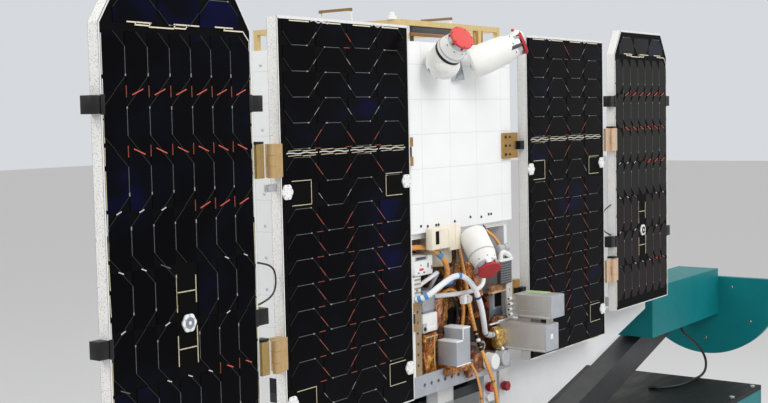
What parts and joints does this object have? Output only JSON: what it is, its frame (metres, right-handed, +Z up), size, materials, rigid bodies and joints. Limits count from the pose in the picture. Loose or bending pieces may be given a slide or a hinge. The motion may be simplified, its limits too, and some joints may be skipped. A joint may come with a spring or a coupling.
{
  "type": "small satellite on a turn-over stand",
  "caption": "Small box satellite with two folding solar wings, star trackers and an open equipment bay, held on a turn-over stand with a box beam and a deck.",
  "frame": {"origin": "middle of the whole footprint, on the floor under the stand's feet", "axes": "+X along the opened wings, towards the stand's beam; -Y the way the solar cells face; +Z up"},
  "size_m": [2.3684, 0.7298, 1.604],
  "materials": {
    "amber_sleeve": "amber film wrap",
    "bare_metal": "machined, satin",
    "black_metal": "black anodised",
    "black_sleeve": "moulded sheath",
    "cell_black": "dark covered solar cells",
    "copper_film": "amber film",
    "cream_plastic": "moulded",
    "dark_steel": "dark grey paint",
    "gold_metal": "gold conversion coat",
    "red_cover": "red dust cover",
    "rubber_foot": "moulded pad",
    "steel": "turned",
    "teal_paint": "gloss teal",
    "white_paint": "matt white thermal paint",
    "white_plastic": "moulded",
    "white_sleeve": "woven sleeve"
  },
  "bodies": {
    "root": {"adapter_plate": "black_metal", "amber_bundles": "copper_film", "amber_harness_1": "amber_sleeve", "amber_harness_2": "amber_sleeve", "amber_harness_3": "amber_sleeve", "bay_back_wall": "copper_film", "bay_bar": "copper_film", "bay_boxes": "bare_metal", "bay_caps": "white_plastic", "bay_posts": "bare_metal", "body_hinge_leaves": "gold_metal", "bottom_deck": "bare_metal", "box_beam": "teal_paint", "brace": "dark_steel", "clamp_plate": "white_paint", "corner_post": "white_plastic", "cover_box": "bare_metal", "cream_box": "cream_plastic", "deck_frame": "teal_paint", "deck_tray": "black_metal", "feet": "rubber_foot", "front_panel": "white_paint", "gold_plug": "gold_metal", "head_plate": "teal_paint", "knobs": "red_cover", "left_tracker": "white_plastic", "legs": "teal_paint", "lifting_handles": "gold_metal", "lower_tracker": "white_plastic", "mid_deck": "bare_metal", "payload_frame": "gold_metal", "rear_panel": "white_paint", "right_tracker": "white_plastic", "side_panels": "white_paint", "stand_cable": "black_sleeve", "sun_sensor": "bare_metal", "support_arm": "white_paint", "top_deck": "bare_metal", "tracker_covers": "red_cover", "tracker_cradles": "white_plastic", "valve_housings": "bare_metal", "white_boxes": "white_paint", "white_harness_1": "white_sleeve", "white_harness_2": "white_sleeve", "white_harness_3": "white_sleeve"},
    "right_inner": {"right_inner_panel": "cell_black", "right_inner_hold_downs": "steel", "right_root_brackets": "black_metal", "right_inner_hinge_blocks": "gold_metal"},
    "right_outer": {"right_outer_panel": "cell_black", "right_outer_fittings": "gold_metal", "right_outer_hinge_blocks": "gold_metal"},
    "left_inner": {"left_inner_panel": "cell_black", "left_inner_hold_downs": "steel", "left_root_brackets": "black_metal", "left_inner_hinge_blocks": "gold_metal"},
    "left_outer": {"left_outer_panel": "cell_black", "left_outer_fittings": "gold_metal", "left_outer_hinge_blocks": "gold_metal"}
  },
  "joints": [
    {"name": "right_wing_root", "type": "hinge", "parent": "root", "child": "right_inner", "pos_m": [-0.05675, -0.2, 1.195], "axis": [0, 0, 1], "range_deg": [0, 90]},
    {"name": "right_wing_fold", "type": "hinge", "parent": "right_inner", "child": "right_outer", "pos_m": [0.33975, -0.229, 1.195], "axis": [0, 0, -1], "range_deg": [0, 180]},
    {"name": "left_wing_root", "type": "hinge", "parent": "root", "child": "left_inner", "pos_m": [-0.44475, -0.2, 1.195], "axis": [0, 0, -1], "range_deg": [0, 90]},
    {"name": "left_wing_fold", "type": "hinge", "parent": "left_inner", "child": "left_outer", "pos_m": [-0.84125, -0.229, 1.195], "axis": [0, 0, 1], "range_deg": [0, 180]}
  ]
}
